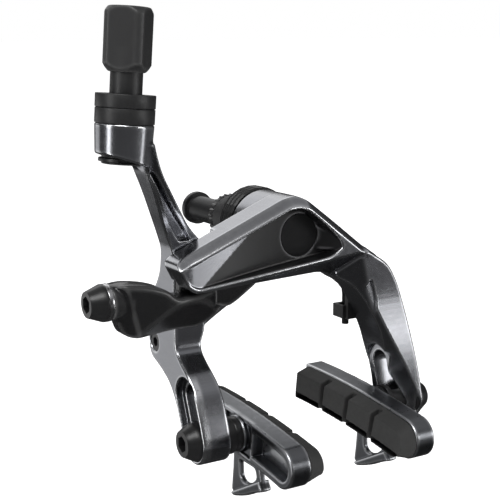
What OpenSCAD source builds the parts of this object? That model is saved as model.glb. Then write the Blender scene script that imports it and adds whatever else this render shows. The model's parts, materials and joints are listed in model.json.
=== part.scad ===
// Rim brake caliper: two arms on one pivot bolt, closed by a link lever.
// Frame: origin on the pivot bolt's axis, at the face that meets the fork.
// +Y points back to the fork, +X to the right seen from the front, +Z up.

/* [Mounting] */
// Pivot bolt thread diameter, mm
bolt_d = 6; // [5:0.5:8]
// Sleeve nut tube diameter, mm
nut_d = 8; // [7:0.5:10]
// Sleeve nut tube length, mm
nut_len = 18.8; // [8:0.1:32]
// Toothed washer diameter, mm
star_d = 15; // [12:0.5:18]

/* [Arms] */
// Hub radius of the rear arm, mm
hub_r = 10.5; // [8:0.5:14]
// Front face of the front arm's rim, mm ahead of the fork face
front_y = 46; // [40:0.5:52]
// Outer face of each leg at the pads, mm from the middle
leg_out = 37; // [32:0.5:42]
// Inner face of the left leg at the pads, mm from the middle
leg_in = 28.5; // [24:0.5:32]
// Inner face of the right leg at the pads, mm from the middle
leg_in_r = 27.2; // [24:0.1:32]
// Depth of the washer seat in each leg, mm
seat_depth = 2; // [0:0.5:4]
// Travel of the pad bolt up its slot, mm
reach_travel = 12; // [6:1:16]

/* [Pads] */
// Gap between the two pad faces, mm
pad_gap = 25.7; // [20:0.1:34]
// Pad bolt axis below the pivot, mm
pad_drop = 51.8; // [39:0.1:57]
// Pad bolt axis ahead of the fork face, mm
pad_fwd = 45.7; // [35:0.1:55]
// Radius of the rim the pads follow, mm
rim_r = 310; // [250:1:320]
// Rubber length, mm
rubber_len = 52; // [40:1:60]
// Holder length, mm
holder_len = 55; // [45:1:60]
// Pitch of the pads, degrees, front end down
pad_pitch = 4.3; // [0:0.1:10]
// Height of the rubber's rim face, mm
face_h = 7.7; // [6:0.1:10]

/* [Barrel] */
// Lean of the barrel, degrees to the right
barrel_lean = 4.5; // [0:0.5:10]
// Outer radius of the two rings, mm
ring_r = 7.6; // [6.5:0.1:9]
// Adjuster stem radius, mm
stem_r = 4.1; // [3.5:0.1:5]
// Knob width across its flats, mm
knob_w = 10.4; // [9:0.1:14]
// Housing socket radius in the knob, mm
socket_r = 2.6; // [2.1:0.1:3.1]

/* [Show] */
// Which sub-part to draw

/* [Hidden] */
$fn = 64;
run = 0.05;                   // running clearance, radial
link_p = [-33, -8.5];         // link pivot on the front arm, x and z
drive_p = [-15, -9.5];        // link pin in the rear arm, x and z
anchor_p = [-41.2, -11.6];    // cable anchor bolt axis, y and z
barrel_p = [-55.8, -41, -11]; // point on the barrel axis
arc_y = -pad_fwd + rim_r*sin(pad_pitch);
arc_z = -pad_drop - 0.4 - rim_r*cos(pad_pitch);
slot_tilt_l = 22;
slot_tilt_r = 14;

// ---- helpers ----

// Cylinder along Y from y0 (rear) to y1 (front, more negative)
module ycyl(y0, y1, r, x = 0, z = 0, r2 = undef) {
  translate([x, y0, z]) rotate([90, 0, 0])
    cylinder(h = y0 - y1, r1 = r, r2 = is_undef(r2) ? r : r2);
}

// Cylinder along X from x0 to x1
module xcyl(x0, x1, r, y = 0, z = 0, r2 = undef) {
  translate([x0, y, z]) rotate([0, 90, 0])
    cylinder(h = x1 - x0, r1 = r, r2 = is_undef(r2) ? r : r2);
}

// Front-view outline (x, z) from y0 (rear) to y1 (front)
module plate(y0, y1, pts) {
  translate([0, y0, 0]) rotate([90, 0, 0]) linear_extrude(y0 - y1) polygon(pts);
}

// Side-view outline (y, z) from x0 to x1
module side(x0, x1, pts) {
  translate([x0, 0, 0]) rotate([90, 0, 90]) linear_extrude(x1 - x0) polygon(pts);
}

// Hexagonal key socket along X, from x0, w across flats
module xhex(x0, x1, w, y, z) {
  translate([x0, y, z]) rotate([0, 90, 0]) cylinder(h = x1 - x0, r = w/2/cos(30), $fn = 6);
}

// Local frame of the barrel: z up its axis, from the anchor's level
module on_barrel() {
  translate(barrel_p) rotate([0, barrel_lean, 0]) children();
}

// Flat obround, from the origin up its own Y
module obround(r, len) {
  circle(r);
  translate([0, len]) circle(r);
  translate([-r, 0]) square([2*r, len]);
}

// Slot along X through a leg, its lower centre on the pad bolt axis
module leg_slot(x0, x1, r, tilt) {
  translate([x0, -pad_fwd, -pad_drop]) rotate([90, 0, 90])
    linear_extrude(x1 - x0) rotate(-tilt) obround(r, reach_travel);
}

// Arc-shaped bar that follows the rim: profile in (radius, x), length in mm
module rim_arc(len, shift, pts) {
  a = len/rim_r*180/PI;
  s = shift/rim_r*180/PI;
  translate([0, arc_y, arc_z]) rotate([0, 90, 0])
    rotate([0, 0, 180 + pad_pitch + s - a/2]) rotate_extrude(angle = a, $fn = 720) polygon(pts);
}

// The same in the side view: a flat band along the rim, half height h, from s0 to s1 mm ahead
module rim_band(h, s0, s1) {
  function ray(s) = let (t = pad_pitch + s/rim_r*180/PI) 2*rim_r*[-sin(t), cos(t)];
  translate([arc_y, arc_z]) intersection() {
    difference() {
      circle(rim_r + h, $fn = 720);
      circle(rim_r - h, $fn = 720);
    }
    polygon([[0, 0], ray(s0), ray(s1)]);
  }
}

// Point on the rim arc, shift mm towards the front
function arc_pt(shift, dr = 0) =
  let (t = pad_pitch + shift/rim_r*180/PI) [arc_y - (rim_r + dr)*sin(t), arc_z + (rim_r + dr)*cos(t)];

// ---- root: what is clamped to the fork ----

module mount_bolt() {
  color("#2b2b2d") difference() {
    union() {
      ycyl(16, -8.6, bolt_d/2);
      ycyl(-8.6, -37.4, 4.5);
      ycyl(-37.4, -39, 5.1);
    }
    translate([0, -37.2, 0]) rotate([90, 0, 0]) cylinder(h = 3, r = 2.9, $fn = 6);
  }
}

module toothed_washer() {
  color("#1c1c1e") difference() {
    union() {
      ycyl(0, -2.5, star_d/2 - 0.9);
      for (k = [0:23]) rotate([0, 15*k, 0]) translate([0, -2.4, star_d/2 - 1.3])
        rotate([0, 45, 0]) cube([1.1, 2.3, 1.1]);
    }
    ycyl(1, -3, bolt_d/2 + 0.1);
  }
}

module spring_bush() {
  color("#232325") difference() {
    union() {
      ycyl(-2.5, -7.2, 6.8);
      ycyl(-7.2, -8.4, 7.7);
      ycyl(-8.4, -20, 8.4);
    }
    ycyl(-2, -8.7, bolt_d/2 + 0.1);
    ycyl(-8.5, -21, 4.6);
  }
}

// Centre line of the spring's wire: rear leg, coils, front leg to the clip
spring_path = concat(
  [[-24, -21.8, -26], [-23.8, -21.8, -23], [-22.6, -21.6, -20], [-11.6, -19.4, -5], [-10.4, -19, -2]],
  [for (k = [0:75]) let (a = 180 - 12*k) [10.1*cos(a), -18.9 + 4.9*k/75, 10.1*sin(a)]],
  [[10.3, -14.5, -2.5], [11.2, -15.6, -4.6], [22.4, -28.8, -18], [23.4, -29.8, -19.8],
   [23.6, -30, -21.8], [23.6, -30, -31]]);

// Tube of radius r along a list of points, never running along Y
module tube_along(pts, r, sides) {
  n = len(pts);
  function along(i) = pts[min(i + 1, n - 1)] - pts[max(i - 1, 0)];
  ring = [for (i = [0:n - 1]) let (t = along(i)/norm(along(i)),
    u0 = cross(t, [0, 1, 0]), u = u0/norm(u0), v = cross(t, u))
    for (k = [0:sides - 1]) pts[i] + r*cos(360*k/sides)*u + r*sin(360*k/sides)*v];
  polyhedron(ring, concat(
    [[for (k = [0:sides - 1]) k]],
    [[for (k = [sides - 1:-1:0]) (n - 1)*sides + k]],
    [for (i = [0:n - 2]) for (k = [0:sides - 1])
      [i*sides + k, (i + 1)*sides + k, (i + 1)*sides + (k + 1) % sides, i*sides + (k + 1) % sides]]));
}

module return_spring() {
  color("#161617") tube_along(spring_path, 1.05, 10);
}

module thrust_washers() {
  color("#8f9296") {
    difference() { ycyl(-34.05, -34.35, 8); ycyl(-34, -35, 4.6); }
    difference() { ycyl(-37.05, -37.4, 5.3); ycyl(-37, -38, 4.6); }
  }
}

module sleeve_nut() {
  color("#303033") difference() {
    union() {
      ycyl(nut_len, 0.05, nut_d/2);
      ycyl(nut_len + 1.9, nut_len, 5.2);
    }
    ycyl(nut_len - 2, -1, bolt_d/2 + run);
    translate([0, nut_len + 3, 0]) rotate([90, 0, 0]) cylinder(h = 6, r = 2.5/cos(30), $fn = 6);
  }
}

// ---- front arm: head on the pivot, right leg ----

head_out = [[-40.5, -4], [-39, -3.2], [-6.5, 10.2], [-2.5, 10.9], [0.5, 9.6], [8.7, 3.8], [22, -6.8],
  [30.5, -13], [26, -22], [16.2, -15.3], [11, -12.7], [6, -11], [-19, -11], [-35.4, -11.4],
  [-37.3, -10.4]];
head_floor = [[-13, 3.2], [-10.4, 5], [-5.2, 7.3], [-2.3, 7.7], [-0.1, 7], [5.4, 3.2], [10, -3.3],
  [7.4, -5.8], [2.3, -6.4], [-13, -8.2]];
head_slope = [[-37.6, -4.3], [-31.4, -3.2], [-21.3, 0.6], [-12.9, 3.2], [-12.9, -8.2],
  [-33.4, -9.6], [-35, -9.2]];
leg_r = [[20, -5.5], [30.5, -13], [34, -20], [35.2, -27], [36, -35], [36.6, -44], [leg_out, -52],
  [leg_out, -60], [leg_in_r, -60], [leg_in_r, -42.6], [26, -37.6], [24.4, -30],
  [21.3, -23.3], [19.1, -19.3], [16.2, -15.3], [11.5, -12.8]];
leg_r_side = [[-34.4, 5], [-34.4, -24], [-36.3, -38], [-38.9, -49], [-39.5, -54.6], [-42, -57.2],
  [-45.2, -58.1], [-48.5, -57.3], [-51, -54.8], [-51.7, -52], [-49.9, -40], [-47.2, -26],
  [-46, -18], [-46, 5]];

module front_arm() {
  color("#6d6f73") difference() {
    union() {
      plate(-34.4, -front_y, head_out);
      intersection() {
        plate(-30, -54, leg_r);
        side(5, 45, leg_r_side);
      }
    }
    // long bevel between the top and the rim
    translate([-39, -43, -3.2]) rotate([0, -22.4, 0])
      side(-6, 36, [[0, 0.01], [-6, 0.01], [-6, -6]]);
    // recess: flat floor round the pivot, sloped floor to the left
    plate(-40, -50, head_floor);
    translate([-13, -40, 0]) rotate([0, 0, 11]) translate([13, 0, 0]) plate(0, -12, head_slope);
    // open back, where the link passes
    difference() {
      plate(-30, -39.3, [[-37.4, -14], [-38, -6.2], [-10, 5.2], [-2, 5.2], [-2, -14]]);
      ycyl(-29, -41, 10.8);
    }
    // room for the rear arm's strut behind the left end
    plate(-30, -36.7, [[-42, -14], [-42, 8], [-26, 8], [-24.4, -14]]);
    // pivot bore and counterbore for the bolt head and its cap
    ycyl(-34, -41, 4.5 + run);
    ycyl(-37.05, -41, 5.4);
    ycyl(-39.25, -41, 5.92);
    // blind hole for the link pin
    ycyl(-39, -42.4, 2, link_p[0], link_p[1]);
    // slot and its washer seats, outside and inside
    leg_slot(20, 45, 3.1, slot_tilt_r);
    leg_slot(leg_out - seat_depth, 45, 5.3, slot_tilt_r);
    leg_slot(20, leg_in_r, 5.4, slot_tilt_r);
    // clip screw hole in the back of the leg
    ycyl(-33, -39, 1.3, 24.6, -22.5);
  }
}

module pivot_cap() {
  color("#1a1a1b") ycyl(-39.3, -40.35, 5.9);
}

module spring_clip() {
  color("#1d1d1e") difference() {
    union() {
      translate([21.4, -34.3, -28.6]) cube([5, 1.6, 8.8]);
      translate([20.7, -32.8, -28.6]) cube([7.3, 5.2, 3.9]);
    }
    // slot that the spring's end slides in
    translate([25.85, -30, -40]) rotate([0, 0, 90]) linear_extrude(30) obround(1.35, 3);
    ycyl(-30, -36, 1.3, 24.6, -22.5);
  }
}

module spring_clip_screw() {
  color("#2a2a2c") difference() {
    union() {
      ycyl(-31.3, -32.7, 2, 24.6, -22.5);
      ycyl(-32.7, -38.6, 1.25, 24.6, -22.5);
    }
    translate([24.6, -31, -22.5]) rotate([90, 0, 0]) cylinder(h = 1.2, r = 1.1, $fn = 6);
  }
}

module link_pin() {
  color("#9a9ca0") ycyl(-36.4, -42.4, 2, link_p[0], link_p[1]);
}

// ---- rear arm: hub, barrel holder, left leg ----

arm_l_front = [[-50, 28.5], [-48.5, 22.7], [-44.1, 14.2], [-39.6, 4.5], [-37.2, -1.5], [-leg_out, -5],
  [-leg_out, -60], [-leg_in, -60], [-leg_in, -40], [-29.3, -33], [-29, -28], [-27.5, -24],
  [-27.5, 0], [-28.7, 0.7], [-32.3, 4.7], [-37.2, 11.8], [-43.5, 20.8], [-46.6, 28.5]];
arm_l_side = [[-46.5, 28.5], [-43.5, 20], [-36.3, 4.5], [-36, -2], [-36, -29], [-39.5, -32],
  [-43.6, -34.8], [-46.8, -38.5], [-49.5, -44.6], [-51.4, -50], [-51.8, -53], [-50.6, -56],
  [-48.4, -57.7], [-45.7, -58.2], [-42.9, -57.6], [-40.6, -55.8], [-39.4, -53], [-38, -49],
  [-35.4, -43.5], [-32, -39], [-26.5, -36], [-21, -34], [-19.5, -31.5], [-19.5, -22], [-22, -16],
  [-27, -9], [-28, -4], [-30, 6], [-34, 18], [-36.5, 28.5]];
strut_pocket = [[-47.4, 21.5], [-45.4, 20.6], [-38.3, 10.5], [-33.6, 4.2], [-31.6, 1], [-35.2, 1],
  [-38.6, 6.6], [-42.8, 15.4]];
strut_front = [[-60, 28], [-40.8, 20], [-35.4, 8], [-33.4, -2], [-60, -2]];
arm_l_bar = [[-30, -1.5], [-21, -2], [-12, 1], [-5, 8], [0, 8], [4, -6], [-4, -9.6], [-10, -13.5],
  [-16, -17.3], [-24, -22], [-30, -26]];

module rear_arm() {
  color("#66686c") difference() {
    union() {
      ycyl(-20.2, -34, hub_r);
      plate(-23, -34, arm_l_bar);
      intersection() {
        plate(-15, -55, arm_l_front);
        side(-50, -20, arm_l_side);
      }
      // barrel holder, cut off at a slant below
      difference() {
        on_barrel() translate([0, 0, 32]) cylinder(h = 12.4, r1 = 6.9, r2 = 7.5);
        translate([-55.8, -60, 25]) rotate([0, 19, 0]) translate([-20, 0, -20]) cube([50, 40, 20]);
      }
    }
    ycyl(-20, -35, 4.5 + run);
    on_barrel() translate([0, 0, 20]) cylinder(h = 30, r = 5.4 + run);
    // pocket in the front of the strut
    intersection() {
      plate(-30, -60, strut_pocket);
      side(-60, -20, strut_front);
    }
    // slot for the link's drive pin
    translate([drive_p[0] - 2.2, -26, drive_p[1] + 0.05]) rotate([90, 0, 0])
      linear_extrude(10) rotate(-90) obround(2.2, 3);
    // centring screw hole
    xcyl(-40, -28.6, 2.55, -23.2, -29.4);
    // slot and washer seat
    leg_slot(-45, -20, 3.1, slot_tilt_l);
    leg_slot(-45, -leg_out + seat_depth, 5.3, slot_tilt_l);
  }
}

module centring_screw() {
  color("#1b1b1c") difference() {
    xcyl(-36.7, -29, 2.5, -23.2, -29.4);
    xhex(-37, -33.5, 2.5, -23.2, -29.4);
  }
}

module holder_collar() {
  color("#1f1f20") difference() {
    on_barrel() translate([0, 0, 48.4]) cylinder(h = 3.4, r = ring_r);
    on_barrel() translate([0, 0, 48]) cylinder(h = 5, r = 5.4 + run);
  }
}

// ---- link lever and cable anchor ----

module link_lever() {
  color("#121213") difference() {
    union() {
      plate(-36.5, -46, [[-58.4, -7.8], [-55, -6.7], [-48.8, -7.6], [-43.4, -9.5], [-40.4, -12.4],
        [-14.8, -12.4], [-13.6, -13.3], [-19.4, -17.2], [-25.5, -21], [-29, -21.5], [-54.6, -21.4],
        [-57, -15]]);
      plate(-36.5, -39, [[-36.6, -8.5], [-33, -4.9], [-15, -5.7], [-11.3, -10.4], [-13, -12.6],
        [-19.4, -16.8], [-22, -18], [-37, -14]]);
      ycyl(-36.5, -39, 3.6, link_p[0], link_p[1]);
      ycyl(-36.5, -39, 3.8, drive_p[0], drive_p[1]);
      xcyl(-58.4, -54, 4.6, anchor_p[0], anchor_p[1]);
    }
    ycyl(-36, -41, 2 + run, link_p[0], link_p[1]);
    ycyl(-36, -41, 2, drive_p[0], drive_p[1]);
    xcyl(-60, -49, 2.5 + run, anchor_p[0], anchor_p[1]);
  }
}

module drive_pin() {
  color("#9a9ca0") ycyl(-28.5, -39, 2, drive_p[0], drive_p[1]);
}

module anchor_washer() {
  color("#8b8d90") difference() {
    xcyl(-59.7, -58.45, 4.9, anchor_p[0], anchor_p[1]);
    xcyl(-60, -58, 2.6, anchor_p[0], anchor_p[1]);
  }
}

module anchor_bolt() {
  color("#19191a") difference() {
    union() {
      xcyl(-64.3, -60.3, 3.4, anchor_p[0], anchor_p[1], 4.9);
      xcyl(-60.3, -59.7, 4.9, anchor_p[0], anchor_p[1]);
      xcyl(-59.7, -51, 2.5, anchor_p[0], anchor_p[1]);
    }
    xhex(-65, -61.5, 4, anchor_p[0], anchor_p[1]);
  }
}

// ---- barrel: quick release and adjuster ----

module release_ring() {
  color("#242425") on_barrel() difference() {
    translate([0, 0, 44.5]) cylinder(h = 3.8, r = ring_r - 0.05);
    translate([0, 0, 44]) cylinder(h = 5, r = 5.4 + run);
    translate([-2, 6.6, 45.3]) cube([4, 3, 2.2]);
  }
}

module release_lever() {
  color("#a5a7aa") on_barrel() difference() {
    union() {
      translate([-1.95, 6.65, 45.35]) cube([3.9, 3.2, 2.1]);
      translate([-2.6, 8, 44.9]) cube([5.2, 4, 3]);
    }
    translate([0, 14.6, 40]) cylinder(h = 10, r = 4);
  }
}

module cable_sleeve() {
  color("#28282a") on_barrel() difference() {
    translate([0, 0, 34.4]) cylinder(h = 17, r = 5.4);
    translate([0, 0, 32]) cylinder(h = 20, r = stem_r + run);
    // groove for the clip
    difference() {
      translate([0, 0, 34.9]) cylinder(h = 1, r = 6);
      translate([0, 0, 34]) cylinder(h = 2, r = 4.8);
    }
  }
}

module sleeve_clip() {
  color("#1b1b1c") on_barrel() difference() {
    translate([0, 0, 34.95]) cylinder(h = 0.9, r = 6.2);
    translate([0, 0, 34]) cylinder(h = 3, r = 4.85);
    translate([-3.4, -10, 34]) cube([12, 20, 3]);
  }
}

module adjuster_stem() {
  color("#262628") on_barrel() difference() {
    translate([0, 0, 37]) cylinder(h = 25.5, r = stem_r);
    translate([0, 0, 36]) cylinder(h = 28, r = 1.2);
  }
}

module adjuster_knob() {
  color("#2c2c2e") on_barrel() difference() {
    intersection() {
      rotate([0, 0, 46]) translate([-knob_w/2, -knob_w/2, 57]) cube([knob_w, knob_w, 17]);
      union() {
        translate([0, 0, 57.1]) cylinder(h = 2, r1 = 4.6, r2 = 6.4);
        translate([0, 0, 59.1]) cylinder(h = 12.6, r = 6.4);
        translate([0, 0, 71.7]) cylinder(h = 1.4, r1 = 6.4, r2 = 5.2);
      }
    }
    translate([0, 0, 56]) cylinder(h = 6.6, r = stem_r + run);
    translate([0, 0, 60]) cylinder(h = 8, r = 1.2);
    translate([0, 0, 65]) cylinder(h = 10, r = socket_r);
  }
}

// ---- pads; drawn for the right side, mirrored for the left ----

module pad_bolt() {
  y = -pad_fwd; z = -pad_drop;
  color("#1e1e1f") difference() {
    union() {
      xcyl(36.5, 37.4, 5.2, y, z);
      xcyl(37.4, 40.4, 5.2, y, z, 3.6);
      xcyl(19.6, 36.5, 2.9, y, z);
    }
    xhex(38, 41, 4, y, z);
  }
}

module outer_washers() {
  y = -pad_fwd; z = -pad_drop;
  color("#2b2b2d") difference() {
    xcyl(leg_out - seat_depth + 0.02, 36.48, 5.2, y, z);
    xcyl(34, 37, 3, y, z);
  }
}

// Dished washer against the leg's face at x = leg, domed washer inside it
module inner_washers(leg) {
  y = -pad_fwd; z = -pad_drop;
  x0 = 24.1;
  w = leg - 0.02 - x0;
  color("#2b2b2d") {
    difference() {
      xcyl(x0 + 0.48*w, x0 + w, 5.2, y, z);
      xcyl(x0 - 1, x0 + w + 1, 3, y, z);
      xcyl(x0 + 0.43*w, x0 + 0.87*w, 4.9, y, z, 3.3);
    }
    difference() {
      union() {
        xcyl(x0, x0 + 0.4*w, 4.8, y, z);
        xcyl(x0 + 0.4*w, x0 + 0.81*w, 4.8, y, z, 3.3);
      }
      xcyl(x0 - 1, x0 + w + 1, 3, y, z);
    }
  }
}

// Holder: channel that carries the rubber, with a guide fin below
module pad_holder() {
  y = -pad_fwd; z = -pad_drop;
  s0 = -holder_len/2; s1 = holder_len/2 - 5.7;
  color("#55575a") difference() {
    union() {
      translate([17.2, 0, 0]) rotate([90, 0, 90]) linear_extrude(6.1) {
        rim_band(5.7, s0, s1);
        translate(arc_pt(s1 - 0.2)) circle(5.66);
      }
      xcyl(22, 24.05, 5, y, z);
      // guide fin below
      side(20.4, 22, [[-41, -57], [-40.6, -63.5], [-39.6, -70.5], [-42, -71.6], [-48, -69.6],
        [-53, -66.5], [-56, -62.5], [-57, -57]]);
    }
    // window in the fin
    side(20, 23, [[-44.2, -60.2], [-44.6, -65.4], [-47, -66.4], [-51, -64.6], [-53, -61.8],
      [-52.4, -60.2]]);
    // channel for the rubber, open at the rear
    translate([17, 0, 0]) rotate([90, 0, 90]) linear_extrude(2.4) rim_band(4, s0 - 3, s1 + 0.6);
    // lightening pockets on the outer side, ahead of the bolt and behind it
    translate([20.8, 0, 0]) rotate([90, 0, 90]) linear_extrude(4) {
      rim_band(3.8, 7.6, 20);
      rim_band(3.8, -19.5, -7.6);
    }
    xcyl(18, 25, 2.9 + run, y, z);
    xcyl(19, 25, 1.5, arc_pt(-13.5)[0], arc_pt(-13.5)[1]);
  }
}

module brake_pad() {
  color("#2f3030") difference() {
    union() {
      rim_arc(rubber_len - 3.8, -1.9, [[rim_r - face_h/2, pad_gap/2 - 0.84],
        [rim_r - face_h/2, 15.2], [rim_r - 5.3, 17.15], [rim_r - 3.95, 17.15], [rim_r - 3.95, 19.35],
        [rim_r + 3.95, 19.35], [rim_r + 3.95, 17.15], [rim_r + 5.3, 17.15], [rim_r + face_h/2, 15.2],
        [rim_r + face_h/2, pad_gap/2]]);
      c = arc_pt(rubber_len/2 - 3.8);
      xcyl(pad_gap/2, 15.2, 3.8, c[0], c[1]);
      xcyl(15.2, 17.15, 3.8, c[0], c[1], 5.2);
    }
    for (k = [-1.5:1:0.5]) rim_arc(1.8, (k + 0.5)*12.24, [[rim_r - 9, 11], [rim_r - 9, 16],
      [rim_r + 9, 16], [rim_r + 9, 11]]);
  }
}

// Grub screw that keeps the rubber in the holder, from the outer side
module pad_screw() {
  d = arc_pt(-13.5);
  color("#3a3a3c") difference() {
    xcyl(19.42, 20.8, 1.5, d[0], d[1]);
    xhex(20.2, 21, 1.3, d[0], d[1]);
  }
}

module pad_bolt_right() { pad_bolt(); }
module outer_washers_right() { outer_washers(); }
module inner_washers_right() { inner_washers(leg_in_r); }
module pad_holder_right() { pad_holder(); }
module brake_pad_right() { brake_pad(); }
module pad_screw_right() { pad_screw(); }
module pad_bolt_left() { mirror([1, 0, 0]) pad_bolt(); }
module outer_washers_left() { mirror([1, 0, 0]) outer_washers(); }
module inner_washers_left() { mirror([1, 0, 0]) inner_washers(leg_in); }
module pad_holder_left() { mirror([1, 0, 0]) pad_holder(); }
module brake_pad_left() { mirror([1, 0, 0]) brake_pad(); }
module pad_screw_left() { mirror([1, 0, 0]) pad_screw(); }

mount_bolt();
toothed_washer();
spring_bush();
return_spring();
thrust_washers();
sleeve_nut();
front_arm();
pivot_cap();
spring_clip();
spring_clip_screw();
link_pin();
rear_arm();
centring_screw();
holder_collar();
link_lever();
drive_pin();
anchor_bolt();
anchor_washer();
release_ring();
release_lever();
cable_sleeve();
sleeve_clip();
adjuster_stem();
adjuster_knob();
pad_bolt_left();
outer_washers_left();
inner_washers_left();
pad_holder_left();
brake_pad_left();
pad_screw_left();
pad_bolt_right();
outer_washers_right();
inner_washers_right();
pad_holder_right();
brake_pad_right();
pad_screw_right();
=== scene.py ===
"""Rim brake caliper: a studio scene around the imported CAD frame.

The arms, link, pads and knob are skins of distance fields. Each shape is a formula over a grid, with
edges rounded by smooth unions and cuts, and its surface is drawn as quads. The other pieces are the CAD's
own, with softened edges. Shape functions work in millimetres in the row frame; meshes are in metres.
"""

import json
import math

import bpy
import numpy as np
from mathutils import Matrix, Vector


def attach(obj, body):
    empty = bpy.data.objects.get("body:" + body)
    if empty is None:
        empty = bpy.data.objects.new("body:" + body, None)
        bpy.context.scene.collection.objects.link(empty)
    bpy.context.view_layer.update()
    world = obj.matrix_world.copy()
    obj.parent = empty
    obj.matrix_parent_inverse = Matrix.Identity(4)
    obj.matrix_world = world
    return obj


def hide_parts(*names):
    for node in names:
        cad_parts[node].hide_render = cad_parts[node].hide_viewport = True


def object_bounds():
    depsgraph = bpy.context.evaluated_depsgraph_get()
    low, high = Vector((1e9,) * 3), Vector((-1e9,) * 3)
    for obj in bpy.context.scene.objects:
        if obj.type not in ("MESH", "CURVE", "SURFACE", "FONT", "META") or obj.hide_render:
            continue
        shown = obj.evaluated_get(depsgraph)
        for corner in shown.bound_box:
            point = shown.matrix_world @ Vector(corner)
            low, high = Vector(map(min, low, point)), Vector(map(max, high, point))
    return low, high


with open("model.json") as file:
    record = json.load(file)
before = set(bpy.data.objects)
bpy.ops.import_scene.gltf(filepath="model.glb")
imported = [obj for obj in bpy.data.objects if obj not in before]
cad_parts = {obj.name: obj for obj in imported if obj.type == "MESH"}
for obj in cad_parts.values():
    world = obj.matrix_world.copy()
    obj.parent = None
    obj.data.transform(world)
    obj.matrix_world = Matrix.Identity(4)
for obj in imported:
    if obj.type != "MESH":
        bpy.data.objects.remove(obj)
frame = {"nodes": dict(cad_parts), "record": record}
cad_box = [list(corner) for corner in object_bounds()]
MM = 0.001

# ---- fields: negative inside, positive outside ----


class Grid:
    """Points on a regular grid, as three arrays that broadcast against each other."""

    def __init__(self, low, high, step):
        axes = [np.arange(a, b + step, step, dtype=np.float32) for a, b in zip(low, high)]
        self.low = np.array(low, float)
        self.step = step
        self.shape = tuple(len(a) for a in axes)
        self.x = axes[0][:, None, None]
        self.y = axes[1][None, :, None]
        self.z = axes[2][None, None, :]


def both(a, b, k=0.5):
    """Where both solids are, the edge between them rounded by about k."""
    h = np.maximum(k - np.abs(a - b), 0) / k
    return np.maximum(a, b) + h * h * k * 0.25


def either(a, b, k=0.5):
    """Where either solid is, with a fillet of about k."""
    return -both(-a, -b, k)


def cut(a, b, k=0.5):
    """Solid a without solid b, with a rounded rim."""
    return both(a, -b, k)


def chamfer(a, b, c, k=0.25):
    """Where both solids are, with a chamfer of c on the edge between them."""
    return both(both(a, b, k), (a + b + c) * 0.7071, k)


def slab(v, low, high):
    """Between two parallel planes."""
    return np.maximum(low - v, v - high)


def plane(g, point, normal):
    """Behind a plane, given a point on it and its outward normal."""
    n = np.array(normal, float) / np.linalg.norm(normal)
    return (g.x - point[0]) * n[0] + (g.y - point[1]) * n[1] + (g.z - point[2]) * n[2]


def rounded(points, radius):
    """A closed outline with its corners rounded. A point may give its own radius as a third number."""
    out = []
    n = len(points)
    for i, point in enumerate(points):
        a, b, c = (np.array(points[j % n][:2], float) for j in (i - 1, i, i + 1))
        r = point[2] if len(point) > 2 else radius
        u, v = a - b, c - b
        reach = min(r, 0.49 * np.linalg.norm(u), 0.49 * np.linalg.norm(v))
        start, end = b + u / np.linalg.norm(u) * reach, b + v / np.linalg.norm(v) * reach
        for t in np.linspace(0, 1, 6):
            out.append((1 - t) ** 2 * start + 2 * t * (1 - t) * b + t * t * end)
    return out


def outline(p, q, points, radius=0.6):
    """Signed distance to a closed outline in the plane of p and q."""
    pts = rounded(points, radius)
    best, sign = np.float32(1e9), np.float32(1)
    for (ax, ay), (bx, by) in zip(pts, pts[1:] + pts[:1]):
        ex, ey = np.float32(bx - ax), np.float32(by - ay)
        if ex * ex + ey * ey < 1e-8:
            continue
        wx, wy = p - np.float32(ax), q - np.float32(ay)
        t = np.clip((wx * ex + wy * ey) / (ex * ex + ey * ey), 0, 1)
        best = np.minimum(best, (wx - ex * t) ** 2 + (wy - ey * t) ** 2)
        above, below, left = q >= ay, q < by, ex * wy > ey * wx
        sign = np.where((above & below & left) | (~above & ~below & ~left), -sign, sign)
    return np.sqrt(best) * sign


def obround(p, q, start, end, r):
    """Signed distance to a slot outline between two centres."""
    ex, ey = end[0] - start[0], end[1] - start[1]
    wx, wy = p - start[0], q - start[1]
    t = np.clip((wx * ex + wy * ey) / (ex * ex + ey * ey), 0, 1)
    return np.hypot(wx - ex * t, wy - ey * t) - r


# ---- skins ----

CORNERS = [(i, j, k) for i in (0, 1) for j in (0, 1) for k in (0, 1)]
WEAR_AND_HIGHLIGHT_REACH = 0.7  # how far round a point the bent-edge mask reaches, mm: edge wear on most materials, a painted highlight on the front arm's black recess
FULL_WEAR_AND_HIGHLIGHT = 0.9  # how sharply the surface bends where the mask is full, for edge wear and painted highlight alike


def sample(field, p):
    """The field between grid points."""
    top = np.array(field.shape) - 2
    i = np.clip(np.floor(p).astype(int), 0, top)
    t = np.clip(p - i, 0, 1)
    value = 0
    for c in CORNERS:
        w = np.prod([t[:, a] if c[a] else 1 - t[:, a] for a in range(3)], axis=0)
        value = value + w * field[i[:, 0] + c[0], i[:, 1] + c[1], i[:, 2] + c[2]]
    return value


def slope(field, p, reach):
    """The field's gradient between grid points."""
    parts = []
    for a in range(3):
        d = np.zeros(3)
        d[a] = reach
        parts.append((sample(field, p + d) - sample(field, p - d)) / (2 * reach))
    return np.stack(parts, 1)


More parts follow.
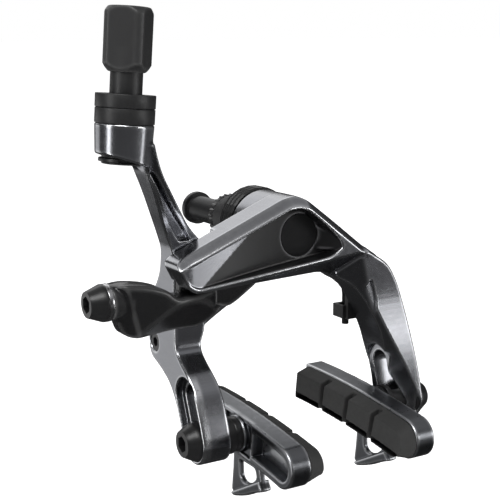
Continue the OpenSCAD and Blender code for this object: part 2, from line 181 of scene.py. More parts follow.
def surface(field):
    """Points in grid steps and quads of the field's zero surface."""
    inside = field < 0
    shifted = (inside[i:i - 1 or None, j:j - 1 or None, k:k - 1 or None] for i, j, k in CORNERS)
    count = sum(part.astype(np.int8) for part in shifted)
    active = (count > 0) & (count < 8)
    cells = np.argwhere(active)
    index = np.full(active.shape, -1, np.int64)
    index[active] = np.arange(len(cells))
    value = {c: field[cells[:, 0] + c[0], cells[:, 1] + c[1], cells[:, 2] + c[2]] for c in CORNERS}
    total, hits = np.zeros((len(cells), 3)), np.zeros(len(cells))
    for a in CORNERS:
        for b in CORNERS:
            if sum(b) != sum(a) + 1 or sum(abs(u - v) for u, v in zip(a, b)) != 1:
                continue
            across = (value[a] < 0) != (value[b] < 0)
            t = value[a][across] / (value[a][across] - value[b][across])
            total[across] += np.array(a) + t[:, None] * (np.array(b) - np.array(a))
            hits += across
    points = cells + total / hits[:, None]
    quads = []
    for axis in range(3):
        u, v = (axis + 1) % 3, (axis + 2) % 3
        ahead = np.roll(inside, -1, axis)
        change = inside != ahead
        limit = [slice(1, -1)] * 3
        limit[axis] = slice(0, -1)
        at = np.argwhere(change[tuple(limit)]) + np.array([0 if a == axis else 1 for a in range(3)])
        eu, ev = np.eye(3, dtype=int)[u], np.eye(3, dtype=int)[v]
        ring = np.stack([index[tuple((at - d).T)] for d in (0 * eu, eu, eu + ev, ev)], 1)
        turn = ~inside[tuple(at.T)]
        ring[turn] = ring[turn][:, ::-1]
        quads.append(ring)
    return points, np.concatenate(quads)


def skin(name, grid, field, paint=None, mirror=False):
    """A mesh of the field's surface, with its true normals, its bent-edge mask for edge wear and painted
    highlight, and its paint mask.
    """
    field = np.ascontiguousarray(np.broadcast_to(field, grid.shape), dtype=np.float32)
    p, quads = surface(field)
    for _ in range(3):
        g = slope(field, p, 0.5)
        move = sample(field, p)[:, None] * g / np.maximum((g * g).sum(1), 1e-9)[:, None]
        p = p - np.clip(move, -0.4, 0.4)
    normal = slope(field, p, 0.7)
    normal /= np.maximum(np.linalg.norm(normal, axis=1), 1e-9)[:, None]
    reach = WEAR_AND_HIGHLIGHT_REACH / grid.step
    around = (sample(field, p + s * reach * e) for e in np.eye(3) for s in (-1, 1))
    bend = sum(around) - 6 * sample(field, p)
    place = grid.low + p * grid.step
    mask = np.zeros(len(p)) if paint is None else paint(*place.T)
    if mirror:
        place[:, 0] *= -1
        normal[:, 0] *= -1
        quads = quads[:, ::-1]
    mesh = bpy.data.meshes.new(name)
    mesh.from_pydata((place * MM).tolist(), [], quads.tolist())
    mesh.polygons.foreach_set("use_smooth", np.ones(len(mesh.polygons), bool))
    mesh.normals_split_custom_set_from_vertices(normal.tolist())
    # the bent-edge mask: edge wear in most materials, a painted highlight on the front arm's black recess
    for key, data in (("wear_and_highlight", np.clip(bend / FULL_WEAR_AND_HIGHLIGHT, 0, 1)), ("paint", mask)):
        layer = mesh.attributes.new(key, "FLOAT", "POINT")
        layer.data.foreach_set("value", np.asarray(data, np.float32))
    piece = bpy.data.objects.new(name, mesh)
    bpy.context.scene.collection.objects.link(piece)
    return piece


# ---- materials ----


class Nodes:
    """A material's node tree, with short ways to add and join nodes."""

    def __init__(self, name):
        self.material = bpy.data.materials.new(name)
        self.material.use_nodes = True
        self.tree = self.material.node_tree
        self.shader = self.tree.nodes["Principled BSDF"]

    def add(self, kind, **settings):
        node = self.tree.nodes.new("ShaderNode" + kind)
        for key, value in settings.items():
            if key in node.inputs:
                node.inputs[key].default_value = value
            else:
                setattr(node, key, value)
        return node

    def join(self, source, target):
        self.tree.links.new(source, target)

    def place(self, scale=(1, 1, 1)):
        mapping = self.add("Mapping")
        mapping.inputs["Scale"].default_value = scale
        self.join(self.add("TexCoord").outputs["Object"], mapping.inputs["Vector"])
        return mapping.outputs["Vector"]

    def noise(self, scale, detail=3.0, stretch=(1, 1, 1)):
        node = self.add("TexNoise", Scale=scale, Detail=detail)
        self.join(self.place(stretch), node.inputs["Vector"])
        return node.outputs["Fac"]

    def attribute(self, name):
        return self.add("Attribute", attribute_name=name).outputs["Fac"]

    def spread(self, source, low, high):
        """source's 0 to 1 as low to high."""
        node = self.add("MapRange")
        node.inputs["To Min"].default_value = low
        node.inputs["To Max"].default_value = high
        self.join(source, node.inputs["Value"])
        return node.outputs["Result"]

    def mix(self, factor, first, second):
        """A colour between two; each is a tuple or a socket."""
        node = self.add("Mix", data_type="RGBA")
        self.join(factor, node.inputs[0])
        for socket, value in ((node.inputs[6], first), (node.inputs[7], second)):
            if isinstance(value, tuple):
                socket.default_value = (*value, 1)
            else:
                self.join(value, socket)
        return node.outputs[2]

    def number(self, factor, first, second):
        """A number between two; each is a number or a socket."""
        node = self.add("Mix", data_type="FLOAT")
        self.join(factor, node.inputs[0])
        for socket, value in ((node.inputs[2], first), (node.inputs[3], second)):
            if isinstance(value, (int, float)):
                socket.default_value = value
            else:
                self.join(value, socket)
        return node.outputs[0]

    def bump(self, height, distance, strength=1.0):
        node = self.add("Bump", Strength=strength, Distance=distance)
        self.join(height, node.inputs["Height"])
        self.join(node.outputs["Normal"], self.shader.inputs["Normal"])


LENGTHWAYS = (1, 0.25, 1)  # brushing drawn out along Y
FRONT_BRUSHING = (1, 0.2, 1)
GRAIN_DEPTH = 0.00001  # metres


def scaled(colour, factor):
    return tuple(c * factor for c in colour)


def metal(name, colour, edge, rough, grain=(1, 1, 1)):
    """Polished or satin metal: brushed grain, a little colour variation, and worn edges rubbed brighter."""
    n = Nodes(name)
    n.shader.inputs["Metallic"].default_value = 1.0
    base = n.mix(n.noise(60, 2), scaled(colour, 0.88), colour)
    n.join(n.mix(n.attribute("wear_and_highlight"), base, edge), n.shader.inputs["Base Color"])
    n.join(n.spread(n.noise(900, 4, grain), rough * 0.7, rough * 1.35), n.shader.inputs["Roughness"])
    n.bump(n.noise(2600, 3, grain), GRAIN_DEPTH, 0.25)
    return n.material


def two_tone(name, colour, edge, rough):
    """The front arm: polished metal with a gloss black recess, where the mesh is painted. On the black,
    bent edges and ridges turn pale grey as a painted highlight.
    """
    n = Nodes(name)
    paint = n.attribute("paint")
    base = n.mix(n.noise(60, 2), scaled(colour, 0.86), colour)
    worn = n.mix(n.attribute("wear_and_highlight"), base, edge)
    # painted highlight: the gloss black goes pale grey where the surface bends, standing in for light
    # caught on the recess's ridges and rims
    black = n.mix(n.attribute("wear_and_highlight"), (0.007, 0.007, 0.0075), (0.1, 0.1, 0.105))
    n.join(n.mix(paint, worn, black), n.shader.inputs["Base Color"])
    n.join(n.number(paint, 1.0, 0.0), n.shader.inputs["Metallic"])
    grain = n.spread(n.noise(900, 4, FRONT_BRUSHING), rough * 0.7, rough * 1.35)
    n.join(n.number(paint, grain, 0.3), n.shader.inputs["Roughness"])
    n.bump(n.noise(2600, 3, FRONT_BRUSHING), GRAIN_DEPTH, 0.25)
    return n.material


def coated(name, colour, rough, edge=0.05, orange_peel=0.000004):
    """Black coating on metal or plastic: faint orange peel, and worn edges rubbed grey."""
    n = Nodes(name)
    base = n.mix(n.noise(150, 3), scaled(colour, 0.8), colour)
    n.join(n.mix(n.attribute("wear_and_highlight"), base, (edge, edge, edge)), n.shader.inputs["Base Color"])
    n.join(n.spread(n.noise(1400, 4), rough * 0.8, rough * 1.25), n.shader.inputs["Roughness"])
    n.bump(n.noise(3000, 2), orange_peel, 0.4)
    return n.material


def turned(name, colour, rough, metallic, axis):
    """A lathe-turned face: fine rings about an axis through the origin of the row frame."""
    n = Nodes(name)
    n.shader.inputs["Metallic"].default_value = metallic
    rings = n.add("TexWave", wave_type="RINGS", rings_direction=axis, Scale=2600.0, Distortion=0.4)
    n.join(n.place(), rings.inputs["Vector"])
    base = n.mix(n.noise(400, 3), scaled(colour, 0.8), colour)
    n.join(base, n.shader.inputs["Base Color"])
    n.join(n.spread(rings.outputs["Fac"], rough * 0.8, rough * 1.2), n.shader.inputs["Roughness"])
    n.shader.inputs["Anisotropic"].default_value = 0.6
    n.bump(rings.outputs["Fac"], 0.000003, 0.5)
    return n.material


def rubber(name, colour):
    """Moulded brake rubber: matt, with a fine grain and a paler bloom in patches."""
    n = Nodes(name)
    base = n.mix(n.noise(120, 4), scaled(colour, 0.8), scaled(colour, 1.15))
    n.join(base, n.shader.inputs["Base Color"])
    n.join(n.spread(n.noise(700, 5), 0.55, 0.8), n.shader.inputs["Roughness"])
    n.shader.inputs["Specular IOR Level"].default_value = 0.35
    n.bump(n.noise(2200, 5), 0.00003, 0.35)
    return n.material


MATERIALS = {
    "polished_grey": metal("polished_metal", (0.3, 0.305, 0.325), (0.75, 0.76, 0.78), 0.22, LENGTHWAYS),
    "front_arm": two_tone("front_arm_metal", (0.34, 0.345, 0.365), (0.8, 0.81, 0.83), 0.22),
    "dark_grey": metal("satin_dark_metal", (0.13, 0.135, 0.145), (0.6, 0.61, 0.63), 0.3),
    "black_gloss": coated("gloss_black", (0.008, 0.008, 0.0085), 0.24, 0.08),
    "black_satin": coated("satin_black", (0.016, 0.016, 0.0165), 0.42, 0.05),
    "black_steel": coated("black_oxide", (0.012, 0.012, 0.0125), 0.32, 0.05, 0.000008),
    "black_plastic": coated("matt_black_plastic", (0.012, 0.012, 0.0125), 0.5, 0.03, 0.00001),
    "bright_steel": metal("bright_steel", (0.55, 0.55, 0.56), (0.8, 0.8, 0.8), 0.25),
    "light_grey": metal("light_satin_metal", (0.6, 0.61, 0.62), (0.85, 0.85, 0.86), 0.3),
    "turned_black": turned("turned_black", (0.03, 0.03, 0.031), 0.34, 0.8, "Y"),
    "rubber": rubber("brake_rubber", (0.035, 0.035, 0.0345)),
}


def finish(piece, material):
    """One material all over."""
    piece.data.materials.clear()
    piece.data.materials.append(MATERIALS[material])


# ---- shared dimensions, as in the CAD ----

HEAD_FRONT, HEAD_BACK = -46.0, -34.4
HUB_FRONT, HUB_BACK = -34.0, -20.2
BOLT_BORE = 4.6
SLOT_R = 3.1
SEAT_DEPTH = 2.0
ANCHOR_Y, ANCHOR_Z = -41.2, -11.6
LINK_PIN, DRIVE_PIN = (-33, -8.5), (-15, -9.5)
PAD_Y, PAD_Z = -45.7, -51.8
PAD_BOLT_BORE = 2.95
RIM_R, PITCH = 310.0, math.radians(4.3)
ARC_Y = PAD_Y + RIM_R * math.sin(PITCH)
ARC_Z = PAD_Z - 0.4 - RIM_R * math.cos(PITCH)
LEG_OUT, LEG_IN, LEG_IN_RIGHT = 37.0, 28.5, 27.2
BARREL = (-55.8, -41.0, -11.0)
LEAN = math.radians(4.5)
TRAVEL = 12.0


def slot_ends(tilt):
    """Centres of a leg's slot, in y and z."""
    t = math.radians(tilt)
    return (PAD_Y, PAD_Z), (PAD_Y + TRAVEL * math.sin(t), PAD_Z + TRAVEL * math.cos(t))


def on_barrel(g):
    """Distance from the barrel's axis and height along it."""
    dx, dz = g.x - BARREL[0], g.z - BARREL[2]
    across = dx * math.cos(LEAN) - dz * math.sin(LEAN)
    along = dx * math.sin(LEAN) + dz * math.cos(LEAN)
    return across, g.y - BARREL[1], along


# ---- front arm ----

HEAD = [(-40.5, -4, 1.5), (-38.4, -2.2, 1.5), (-6.2, 11.2, 5), (-2.5, 11.6, 4), (0.5, 10.3, 4),
        (8.7, 4.2, 6), (20.5, -5.2, 6), (27, -9.6, 4), (30.5, -14, 3), (26, -22), (16.2, -15.3, 4),
        (11, -12.7, 4), (6, -10.9, 4), (-19, -11.2), (-35.4, -11.5, 1.5), (-37.3, -10.4, 1.5)]
RIM = [(-39, -5, 1), (-31.6, -2.4, 2), (-20.9, 1.9, 2), (-10.9, 6, 3), (-5.4, 8.4, 3), (-2, 8.4, 3),
       (0.8, 7.1, 3), (5.3, 3.6, 4), (9.9, -0.9, 3), (11.4, -3.6, 0.6), (7.9, -6, 3), (2.5, -6.7, 4),
       (-15, -8.5, 4), (-28.8, -9.9, 3), (-34.4, -10.4, 1.2), (-37, -9.2, 1.2)]
HEAD_BACK_CUT = [(-37.4, -14), (-38, -6.2), (-10, 5.2), (-2, 5.2), (-2, -14)]
RIDGES = [(3, 4.2), (7, 1.3), (13, -2.4), (13, -4.6), (3, -4.3)]
LEG_R = [(20, -5.5), (27.4, -10, 3), (31, -16, 4), (33.2, -24, 6), (35, -34, 6), (36.4, -44, 6),
         (LEG_OUT, -52, 4), (LEG_OUT, -60), (LEG_IN_RIGHT, -60), (LEG_IN_RIGHT, -43, 3), (26, -37.6, 5),
         (24.4, -30, 5), (21.3, -23.3, 4), (19.1, -19.3, 3), (16.2, -15.3, 2), (11.5, -12.8, 2)]
NOTCH = [(21.3, -14.3, 0.5), (19.4, -16.2, 1.5), (19.7, -19.6, 2), (21.7, -27, 0.3), (23, -21, 2),
         (22, -16.3, 1.5)]
LEG_R_SIDE = [(-34.4, 5), (-34.4, -24, 3), (-36.3, -38, 5), (-38.9, -49, 4), (-39.5, -54.6, 3),
              (-42, -57.2, 3), (-45.2, -58.1, 3), (-48.5, -57.3, 3), (-51, -54.8, 3), (-51.7, -52, 3),
              (-49.9, -40, 6), (-47.2, -26, 6), (-46, -18, 4), (-46, 5)]
RECESS_Y = -40.3
RIDGE_TOP = -45.6
CAP_SEAT_Y, CAP_HOLE_R = -39.2, 6.05


def recess_floor(x, z):
    """y of the recess's floor: flat round the pivot, forward to the left and between the ridges."""
    silver = -46.1 + 0.2 * (x + 38.2)
    wedge = -40.5 - 0.95 * (x - 5.6) + 2.2 * np.maximum(outline(x, z, RIDGES, 0.2), 0)
    return -both(both(np.float32(-RECESS_Y), -silver, 3), -np.maximum(wedge, RIDGE_TOP), 0.5)


def front_arm():
    g = Grid((-42, -53.4, -59.4), (38.6, -33.4, 13), 0.3)
    head = both(outline(g.x, g.z, HEAD), slab(g.y, HEAD_FRONT, HEAD_BACK), 0.5)
    top_left = plane(g, (-17.5, -43, 6.6), (-0.4123, -0.111, 1))
    bevel_left = plane(g, (-17.5, -43, 6.6), (-0.4123, -0.85, 1))
    bevel_top = plane(g, (-3, -43, 11.3), (0.1, -0.9, 1))
    bevel_right = plane(g, (8.7, -43.4, 4.4), (0.61, -0.85, 0.79))
    for side in (top_left, bevel_left, bevel_top, bevel_right):
        head = both(head, side, 0.35)
    below = plane(g, (-12.2, HEAD_FRONT, -9.3), (0.1115, -0.9, -1))
    head = both(head, below, 0.5)
    leg = chamfer(outline(g.x, g.z, LEG_R), outline(g.y, g.z, LEG_R_SIDE), 0.5)
    inner_front = plane(g, (28.4, -48.3, -38.2), (-0.55, -0.8, -0.12))
    leg = both(leg, inner_front, 0.3)
    arm = either(head, leg, 1.6)
    floor = (g.y - recess_floor(g.x, g.z)) * 0.97
    arm = cut(arm, both(outline(g.x, g.z, RIM), floor, 0.3), 0.35)
    axis = np.hypot(g.x, g.z)
    back = both(outline(g.x, g.z, HEAD_BACK_CUT), -39.3 - g.y, 0.3)
    boss = axis - 10.8
    arm = cut(arm, cut(back, boss, 0.2), 0.3)
    strut_room = both(plane(g, (-25, 0, 0), (1, 0, 0.07)), -36.7 - g.y, 0.3)
    arm = cut(arm, strut_room, 0.3)
    arm = cut(arm, axis - BOLT_BORE, 0.3)
    arm = cut(arm, both(axis - CAP_HOLE_R, g.y - CAP_SEAT_Y, 0.2), 0.2)
    low, high = slot_ends(14)
    slot = obround(g.y, g.z, low, high, SLOT_R)
    outer_seat = obround(g.y, g.z, low, high, 5.35)
    inner_seat = obround(g.y, g.z, low, high, 5.4)
    arm = cut(arm, both(slot, 20 - g.x, 0.2), 0.4)
    arm = cut(arm, both(outer_seat, LEG_OUT - SEAT_DEPTH - g.x, 0.2), 0.4)
    arm = cut(arm, both(inner_seat, slab(g.x, 20, LEG_IN_RIGHT), 0.2), 0.3)
    notch = outline(g.x, g.z, NOTCH)
    arm = cut(arm, both(notch, g.y + 45.3 - 0.1 * (g.z + 15), 0.4), 0.4)

    def paint(x, y, z):
        black = (outline(x, z, RIM) < 0.12) & (y < -39) & (y > -45.75)
        silver = (z > -2.4 + 0.763 * (x + 22.95)) & (x < -11)
        return np.where(black & ~silver, 1.0, 0.0)

    piece = skin("arm_front", g, arm, paint)
    finish(piece, "front_arm")
    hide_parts("front_arm")
    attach(piece, "front_arm")


# ---- rear arm ----

ARM_L = [(-50, 28.5), (-48.5, 22.7, 6), (-44.1, 14.2, 6), (-39.6, 4.5, 6), (-37.2, -1.5, 3),
         (-LEG_OUT, -5, 2), (-LEG_OUT, -60), (-LEG_IN, -60), (-LEG_IN, -40, 3), (-29.3, -33, 3),
         (-29, -28, 3), (-27.5, -24, 3), (-27.5, 0, 2), (-28.7, 0.7, 2), (-32.3, 4.7, 4), (-37.2, 11.8, 6),
         (-43.5, 20.8, 6), (-46.6, 28.5)]
ARM_L_SIDE = [(-46.5, 28.5), (-43.5, 20, 6), (-36.3, 4.5, 3), (-36, -2, 3), (-36, -29, 4), (-39.5, -32, 5),
              (-43.6, -34.8, 5), (-46.8, -38.5, 5), (-49.5, -44.6, 5), (-51.4, -50, 4), (-51.8, -53, 3),
              (-50.6, -56, 3), (-48.4, -57.7, 3), (-45.7, -58.2, 3), (-42.9, -57.6, 3), (-40.6, -55.8, 3),
              (-39.4, -53, 3), (-38, -49, 5), (-35.4, -43.5, 5), (-32, -39, 4), (-26.5, -36, 4),
              (-21, -34, 2), (-19.5, -31.5, 2), (-19.5, -22, 3), (-22, -16, 5), (-27, -9, 5), (-28, -4, 5),
              (-30, 6, 6), (-34, 18, 6), (-36.5, 28.5)]
BAR = [(-30, -1.5), (-21, -2, 4), (-12, 1, 4), (-5, 8, 3), (0, 8), (4, -6), (-4, -9.6, 4), (-10, -13.5, 4),
       (-16, -17.3, 4), (-24, -22, 4), (-30, -26)]
STRUT_POCKET = [(-47.4, 21.5, 1), (-45.4, 20.6, 1), (-38.3, 10.5, 5), (-33.6, 4.2, 2), (-31.6, 1),
                (-35.2, 1), (-38.6, 6.6, 4), (-42.8, 15.4, 5)]
STRUT_FRONT = [(-60, 28), (-40.8, 20, 3), (-35.4, 8, 3), (-33.4, -2), (-60, -2)]
HOLDER_TOP = 44.4
HOLDER_SLANT = math.radians(19)
SLEEVE_BORE = 5.45
SCREW_Y, SCREW_Z = -23.2, -29.4


def rear_arm():
    g = Grid((-64.4, -52.8, -59.4), (11.4, -18.8, 34.6), 0.34)
    axis = np.hypot(g.x, g.z)
    hub = both(axis - 10.5, slab(g.y, HUB_FRONT, HUB_BACK), 0.9)
    bar = both(outline(g.x, g.z, BAR), slab(g.y, HUB_FRONT, -23), 0.8)
    limb = chamfer(outline(g.x, g.z, ARM_L), outline(g.y, g.z, ARM_L_SIDE), 0.32)
    across, deep, along = on_barrel(g)
    radius = np.hypot(across, deep)
    cone = 6.9 + (along - 32) * 0.6 / 12.4
    underside = plane(g, (-55.8, -41, 25), (-math.sin(HOLDER_SLANT), 0, -math.cos(HOLDER_SLANT)))
    holder = both(radius - cone, slab(along, 30, HOLDER_TOP), 0.35)
    holder = both(holder, underside, 0.5)
    arm = either(either(hub, bar, 1.5), either(limb, holder, 1.2), 1.2)
    arm = cut(arm, axis - BOLT_BORE, 0.3)
    arm = cut(arm, both(radius - SLEEVE_BORE, 22 - along, 0.2), 0.3)
    arm = cut(arm, both(outline(g.x, g.z, STRUT_POCKET), outline(g.y, g.z, STRUT_FRONT), 0.3), 0.35)
    screw = np.hypot(g.y - SCREW_Y, g.z - SCREW_Z)
    arm = cut(arm, both(screw - 2.6, g.x + 28.6, 0.2), 0.3)
    low, high = slot_ends(22)
    slot = obround(g.y, g.z, low, high, SLOT_R)
    outer_seat = obround(g.y, g.z, low, high, 5.28)
    drive_slot = obround(g.x, g.z, (-17.2, -9.45), (-14.2, -9.45), 2.2)
    arm = cut(arm, both(slot, g.x + 20, 0.2), 0.4)
    arm = cut(arm, both(outer_seat, g.x + LEG_OUT - SEAT_DEPTH, 0.2), 0.3)
    arm = cut(arm, both(drive_slot, slab(g.y, -37, -26), 0.2), 0.2)
    piece = skin("arm_rear", g, arm)
    finish(piece, "polished_grey")
    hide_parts("rear_arm")
    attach(piece, "rear_arm")


# ---- link ----

LINK = [(-58.4, -7.8, 1.2), (-55, -6.7, 2), (-48.8, -7.6, 4), (-43.4, -9.5, 3), (-40.4, -12.2, 2),
        (-14.8, -12.4, 2), (-13.6, -13.3, 1), (-19.4, -17.2, 4), (-25.5, -21, 4), (-30, -22.6, 4),
        (-40, -21.3, 5), (-54.6, -21.2, 2), (-57, -15, 4)]
LINK_WEB = [(-36.6, -8.5), (-33, -4.9), (-15, -5.7), (-11.3, -10.4), (-13, -12.6), (-19.4, -16.8),
            (-22, -18), (-37, -14)]
LINK_BACK = -36.5
LINK_LEFT = -58.4


def link():
    g = Grid((-59.6, -47, -24), (-9.6, -35.6, -3.8), 0.25)
    front = HEAD_FRONT + 0.022 * np.maximum(g.x + 44, 0) ** 2
    body = both(outline(g.x, g.z, LINK), slab(g.y, front, LINK_BACK), 1.4)
    body = both(body, plane(g, (-50, HEAD_FRONT, -19.3), (0.279, -0.834, -0.477)), 0.5)
    body = both(body, plane(g, (-55.3, HEAD_FRONT, -7), (-0.74, -0.644, -0.19)), 0.5)
    body = both(body, plane(g, (-50, -38.5, -7.4), (0.1, 0.75, 1)), 0.6)
    web = both(outline(g.x, g.z, LINK_WEB, 2), slab(g.y, -39, LINK_BACK), 0.4)
    body = either(body, web, 0.8)
    for x, z in (LINK_PIN, DRIVE_PIN):
        body = cut(body, both(np.hypot(g.x - x, g.z - z) - 2.05, -41 - g.y, 0.1), 0.2)
    anchor = np.hypot(g.y - ANCHOR_Y, g.z - ANCHOR_Z)
    boss = both(anchor - 4.6, slab(g.x, LINK_LEFT, -53), 0.4)
    body = either(body, boss, 0.6)
    body = cut(body, both(anchor - 2.55, g.x + 49, 0.1), 0.2)
    piece = skin("link_body", g, body)
    finish(piece, "black_gloss")
    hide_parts("link_lever")
    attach(piece, "link")


# ---- pads: made for the right side, mirrored for the left ----

HOLDER_BACK, HOLDER_NOSE = -27.5, 27.4
HOLDER_IN, HOLDER_OUT = 17.2, 23.3
FACE_HALF, BASE_HALF = 3.85, 5.3  # half heights of the rubber at the rim and at the holder
BLOCK_PITCH = 12.24
FIN = [(-41, -57), (-40.6, -63.5, 3), (-39.6, -70.5, 0.6), (-42, -71.6, 1), (-48, -69.6, 4),
       (-53, -66.9, 4), (-57.2, -65.2, 0.7), (-55.6, -62.8, 1), (-54.6, -57)]
FIN_WINDOW = [(-44.2, -60.2, 1), (-44.6, -65.4, 1.5), (-47, -66.4, 1.5), (-51, -64.9, 2), (-53.3, -62.6, 1),
              (-52.4, -60.2, 1)]


def along_rim(g):
    """Distance along the rim from the pad bolt, forward, and height above its middle line."""
    dy, dz = g.y - ARC_Y, g.z - ARC_Z
    along = RIM_R * (np.arctan2(-dy, dz) - PITCH)
    return along, np.hypot(dy, dz) - RIM_R


def capsule(s, u, back, nose, half):
    """Outline of a pad: square at the back, round at the nose."""
    square = np.maximum(back - s, np.abs(u) - half)
    straight = np.maximum(square, s - (nose - half))
    return np.minimum(straight, np.hypot(s - (nose - half), u) - half)


def holder(mirror, side):
    g = Grid((16.4, -74.6, -73.2), (25, -16.4, -43), 0.28)
    s, u = along_rim(g)
    shape = both(capsule(s, u, HOLDER_BACK, HOLDER_NOSE, 5.68), slab(g.x, HOLDER_IN, HOLDER_OUT), 0.45)
    step = both(capsule(s, u, -19.8, HOLDER_NOSE - 1.1, 4.6), 22.5 - g.x, 0.2)
    shape = cut(shape, both(step, np.maximum(s - 6.6, -6.6 - s), 0.3), 0.3)
    front_pocket = both(capsule(s, u, 7.7, HOLDER_NOSE - 2.1, 3.5), 19.9 - g.x, 0.5)
    rear_pocket = both(both(slab(s, -19.5, -7.6), slab(u, -3.8, 3.8), 0.8), 20.8 - g.x, 0.5)
    for pocket in (front_pocket, rear_pocket):
        shape = cut(shape, pocket, 0.35)
    bolt = np.hypot(g.y - PAD_Y, g.z - PAD_Z)
    shape = either(shape, both(bolt - 5, slab(g.x, 19, 24.05), 0.3), 0.3)
    channel = both(capsule(s, u, HOLDER_BACK - 3, 22.6, 4.02), g.x - 19.4, 0.1)
    shape = cut(shape, channel, 0.15)
    edge, window = outline(g.y, g.z, FIN), outline(g.y, g.z, FIN_WINDOW)
    fin = both(cut(edge, window, 0.3), slab(g.x, 20.4, 22), 0.35)
    foot = both(both(edge, cut(edge, window, 0.2), 0.2), slab(g.x, 19.4, 22.9), 0.3)
    foot = both(foot, slab(g.z + 0.55 * g.y, -97.6, -93.2), 0.3)
    shape = either(shape, either(fin, foot, 0.3), 0.5)
    shape = cut(shape, bolt - PAD_BOLT_BORE, 0.2)
    shape = cut(shape, both(np.hypot(s + 13.5, u) - 1.5, 19 - g.x, 0.1), 0.2)
    piece = skin(f"holder_{side}", g, shape, mirror=mirror)
    finish(piece, "dark_grey")
    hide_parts(f"pad_holder_{side}")
    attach(piece, f"{side}_pad")


def brake_pad(mirror, side):
    g = Grid((12.2, -74.6, -62), (20, -17, -43), 0.26)
    s, u = along_rim(g)
    lean = (g.x - 12.01) - 0.106 * (u + FACE_HALF)
    flare = np.clip((g.x - 12.85) / 4.2, 0, 1)
    half = FACE_HALF + (BASE_HALF - FACE_HALF) * flare
    block = both(capsule(s, u, -26, 26.2 + flare, half), -lean, 0.35)
    block = both(block, g.x - 17.15, 0.2)
    key = both(capsule(s, u, -26, 22.1, 3.9), slab(g.x, 15, 19.3), 0.2)
    pad = either(block, key, 0.1)
    for k in (-1, 0, 1):
        groove = both(slab(s, k * BLOCK_PITCH - 0.9, k * BLOCK_PITCH + 0.9), g.x - 15.9, 0.3)
        pad = cut(pad, groove, 0.35)
    piece = skin(f"pad_{side}", g, pad, mirror=mirror)
    finish(piece, "rubber")
    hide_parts(f"brake_pad_{side}")
    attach(piece, f"{side}_pad")


# ---- knob ----

KNOB_LOW, KNOB_HIGH = 57.1, 73.1
KNOB_TURN = math.radians(46)


def knob():
    g = Grid((-58.6, -48.4, 45.4), (-42.6, -33.6, 63.4), 0.2)
    across, deep, along = on_barrel(g)
    a = across * math.cos(KNOB_TURN) + deep * math.sin(KNOB_TURN)
    b = -across * math.sin(KNOB_TURN) + deep * math.cos(KNOB_TURN)
    radius = np.hypot(across, deep)
    block = both(np.abs(a) - 5.2, np.abs(b) - 5.2, 0.9)
    lathe = np.maximum(radius - 6.4, (radius - 4.6) * 0.745 - (along - KNOB_LOW) * 0.67)
    lathe = both(lathe, (radius - 5.2) * 0.76 + (along - KNOB_HIGH) * 0.65, 0.3)
    shape = both(both(block, lathe, 0.25), slab(along, KNOB_LOW, KNOB_HIGH), 0.3)
    stem_bore = both(radius - 4.15, along - 62.6, 0.1)
    housing_socket = both(radius - 2.6, 65 - along, 0.1)
    shape = cut(shape, stem_bore, 0.2)
    shape = cut(shape, housing_socket, 0.4)
    shape = cut(shape, radius - 1.2, 0.1)
    piece = skin("knob_body", g, shape)
    finish(piece, "black_satin")
    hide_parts("adjuster_knob")
    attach(piece, "knob")


# ---- CAD nodes that keep their own mesh ----


MERGE = 0.000002
EDGE_BREAK = 0.00018


def keep_cad_nodes():
    slots = {s["node"]: s["material_slot"] for s in frame["record"]["subparts"]}
    replaced = {"front_arm", "rear_arm", "link_lever", "adjuster_knob"}
    replaced |= {f"{n}_{s}" for n in ("pad_holder", "brake_pad") for s in ("left", "right")}
    for name, node in frame["nodes"].items():
        if name in replaced:
            continue
        finish(node, "turned_black" if name == "pivot_cap" else slots[name])
        weld = node.modifiers.new("weld", "WELD")
        weld.merge_threshold = MERGE
        if name == "return_spring":
            continue
        bevel = node.modifiers.new("bevel", "BEVEL")
        bevel.width = EDGE_BREAK
        bevel.segments = 2
        bevel.limit_method = "ANGLE"
        bevel.angle_limit = math.radians(38)
        bevel.use_clamp_overlap = True


# ---- studio ----


def look_from(position, target):
    """A matrix at position whose -Z looks at target."""
    position, target = Vector(position), Vector(target)
    turn = (target - position).to_track_quat("-Z", "Y")
    return Matrix.Translation(position) @ turn.to_matrix().to_4x4()


def camera():
    """The photo's view: left of the front and a little above."""
    azimuth, elevation, roll = 30.63, 10.9, -0.374
    distance = 0.34955
    target = Vector((8.06, 0, -11.67)) * MM
    a, e = math.radians(azimuth), math.radians(elevation)
    back = Vector((-math.sin(a) * math.cos(e), -math.cos(a) * math.cos(e), math.sin(e)))
    right = Vector((math.cos(a), -math.sin(a), 0))
    up = back.cross(right)
    turn = math.radians(roll)
    c, s = math.cos(turn), math.sin(turn)
    right, up = c * right + s * up, c * up - s * right
    data = bpy.data.cameras.new("camera")
    data.lens = 79.83
    data.sensor_width = 36
    data.clip_start = 0.01
    view = bpy.data.objects.new("camera", data)
    turned_frame = Matrix((right, up, back)).transposed().to_4x4()
    view.matrix_world = Matrix.Translation(target + back * distance) @ turned_frame
    bpy.context.scene.collection.objects.link(view)
    bpy.context.scene.camera = view


def softbox(name, position, target, size, power):
    data = bpy.data.lights.new(name, "AREA")
    data.shape = "RECTANGLE"
    data.size, data.size_y = size
    data.energy = power
    light = bpy.data.objects.new(name, data)
    light.matrix_world = look_from(position, target)
    bpy.context.scene.collection.objects.link(light)


FLOOR_GAP = 0.03  # metres below the caliper's lowest point


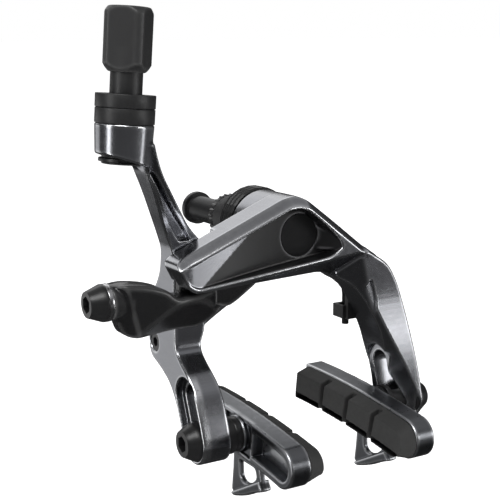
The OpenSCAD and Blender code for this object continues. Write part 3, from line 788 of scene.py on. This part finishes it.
def studio():
    """A white backdrop, a dim sky of bands for the metal to mirror, six softboxes and a pale floor."""
    world = bpy.data.worlds.new("studio")
    bpy.context.scene.world = world
    world.use_nodes = True
    tree = world.node_tree
    background = tree.nodes["Background"]
    coordinate = tree.nodes.new("ShaderNodeTexCoord")
    parts = tree.nodes.new("ShaderNodeSeparateXYZ")
    tree.links.new(coordinate.outputs["Generated"], parts.inputs[0])
    height = tree.nodes.new("ShaderNodeMapRange")
    height.inputs["From Min"].default_value = -1
    tree.links.new(parts.outputs["Z"], height.inputs["Value"])
    ramp = tree.nodes.new("ShaderNodeValToRGB")
    stops = ramp.color_ramp.elements
    stops[0].position, stops[0].color = 0.0, (0.05, 0.05, 0.05, 1)
    stops[1].position, stops[1].color = 1.0, (0.3, 0.3, 0.3, 1)
    bands = ((0.3, 0.03), (0.42, 0.16), (0.5, 0.05), (0.6, 0.03), (0.72, 0.12), (0.85, 0.45))
    for position, grey in bands:
        stop = stops.new(position)
        stop.color = (grey, grey, grey * 1.02, 1)
    tree.links.new(height.outputs["Result"], ramp.inputs["Fac"])
    ray = tree.nodes.new("ShaderNodeLightPath")
    shown = tree.nodes.new("ShaderNodeMix")
    shown.data_type = "RGBA"
    shown.inputs[7].default_value = (1, 1, 1, 1)
    tree.links.new(ray.outputs["Is Camera Ray"], shown.inputs[0])
    tree.links.new(ramp.outputs["Color"], shown.inputs[6])
    tree.links.new(shown.outputs[2], background.inputs["Color"])
    background.inputs["Strength"].default_value = 1.0

    middle = (0, -0.035, 0)
    softbox("key", (-0.35, -0.45, 0.75), middle, (0.5, 0.4), 4)
    softbox("left_strip", (-0.75, -0.1, 0.15), middle, (0.18, 0.9), 2)
    softbox("left_back", (-0.5, 0.8, -0.15), middle, (0.6, 0.6), 0.9)
    softbox("right_front", (0.62, -0.72, 0.12), middle, (0.4, 0.26), 1.3)
    softbox("right_strip", (0.75, -0.57, -0.19), middle, (0.16, 0.4), 0.5)
    softbox("back", (0.15, 0.75, 0.5), middle, (0.9, 0.5), 1.6)

    low = cad_box[0][2]
    bpy.ops.mesh.primitive_plane_add(size=80, location=(0, 0, low - FLOOR_GAP))
    floor = bpy.context.object
    floor.name = "floor"
    n = Nodes("pale_floor")
    n.join(n.mix(n.noise(6, 3), (0.93, 0.93, 0.93), (0.96, 0.96, 0.96)), n.shader.inputs["Base Color"])
    n.shader.inputs["Roughness"].default_value = 0.8
    n.shader.inputs["Emission Color"].default_value = (1, 1, 1, 1)
    n.shader.inputs["Emission Strength"].default_value = 0.8
    floor.data.materials.append(n.material)
    floor.visible_glossy = False
    bpy.context.scene.view_settings.view_transform = "Standard"


camera()
studio()
keep_cad_nodes()
front_arm()
rear_arm()
link()
for mirrored, label in ((False, "right"), (True, "left")):
    holder(mirrored, label)
    brake_pad(mirrored, label)
knob()
